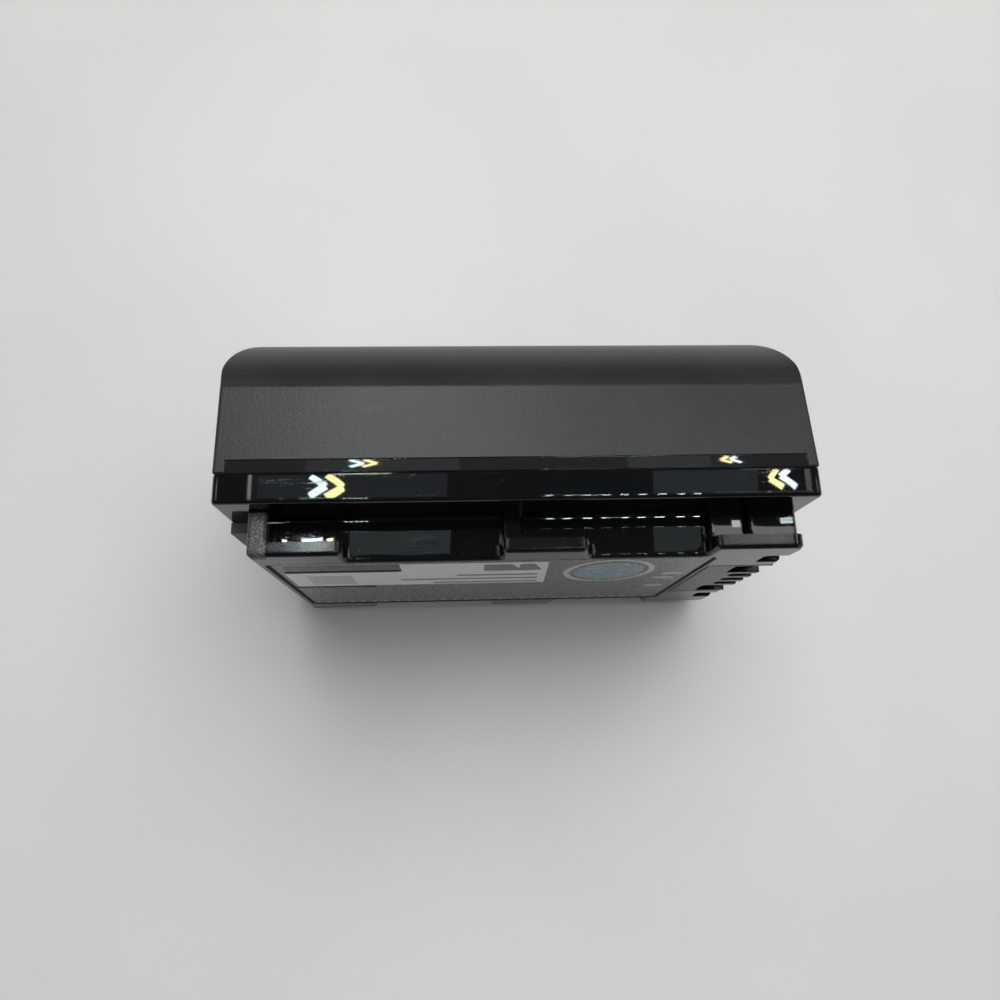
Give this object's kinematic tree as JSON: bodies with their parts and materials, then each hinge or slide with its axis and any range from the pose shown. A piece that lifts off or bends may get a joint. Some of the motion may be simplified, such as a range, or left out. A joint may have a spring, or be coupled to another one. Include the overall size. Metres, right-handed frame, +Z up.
{
  "type": "camera battery",
  "caption": "Flat rectangular rechargeable camera battery: matte cover with rounded edges on a glossy base with notched slide-in lips, side channels, label and slotted terminals",
  "frame": {"origin": "middle of the long side that the battery stands on, at its lowest plane", "axes": "+X to the terminal end, -Y out of the label face, +Y out of the crowned cover face, +Z up"},
  "size_m": [0.045, 0.0185, 0.0318],
  "materials": {
    "cover_plastic": "fine grain, matte charcoal",
    "base_plastic": "polished black",
    "block_plastic": "polished black",
    "label_print": "printed film, satin",
    "contact_metal": "gold flash",
    "board_laminate": "green solder mask",
    "chip_resin": "moulded resin",
    "chip_ceramic": "fired, matte",
    "can_metal": "drawn can, satin",
    "button_metal": "nickel plated",
    "strap_metal": "nickel strip",
    "gasket_plastic": "natural",
    "tape_film": "amber film",
    "sheet_plastic": "milky sheet",
    "card_paper": "pressed card",
    "foam": "closed-cell foam"
  },
  "bodies": {
    "root": {"cover_shell": "cover_plastic", "base_rim": "base_plastic", "base_box": "base_plastic", "base_lips": "base_plastic", "terminal_block": "block_plastic", "label_film": "label_print", "circuit_board": "board_laminate", "contact_plus": "contact_metal", "contact_minus": "contact_metal", "contact_signal_1": "contact_metal", "contact_signal_2": "contact_metal", "contact_signal_3": "contact_metal", "gauge_chip": "chip_resin", "protection_chip": "chip_resin", "charge_switch": "chip_resin", "discharge_switch": "chip_resin", "sense_resistor": "chip_ceramic", "chip_fuse": "chip_ceramic", "board_capacitors": "chip_ceramic", "thermistor": "chip_resin", "cell_outer": "can_metal", "cell_inner": "can_metal", "cell_outer_gasket": "gasket_plastic", "cell_inner_gasket": "gasket_plastic", "cell_outer_button": "button_metal", "cell_inner_button": "button_metal", "cell_outer_plate": "strap_metal", "cell_inner_plate": "strap_metal", "strap_positive": "strap_metal", "strap_negative": "strap_metal", "strap_middle": "strap_metal", "cell_tape": "tape_film", "board_insulator": "sheet_plastic", "end_card": "card_paper", "foam_pad": "foam", "end_foam": "foam"}
  },
  "joints": []
}
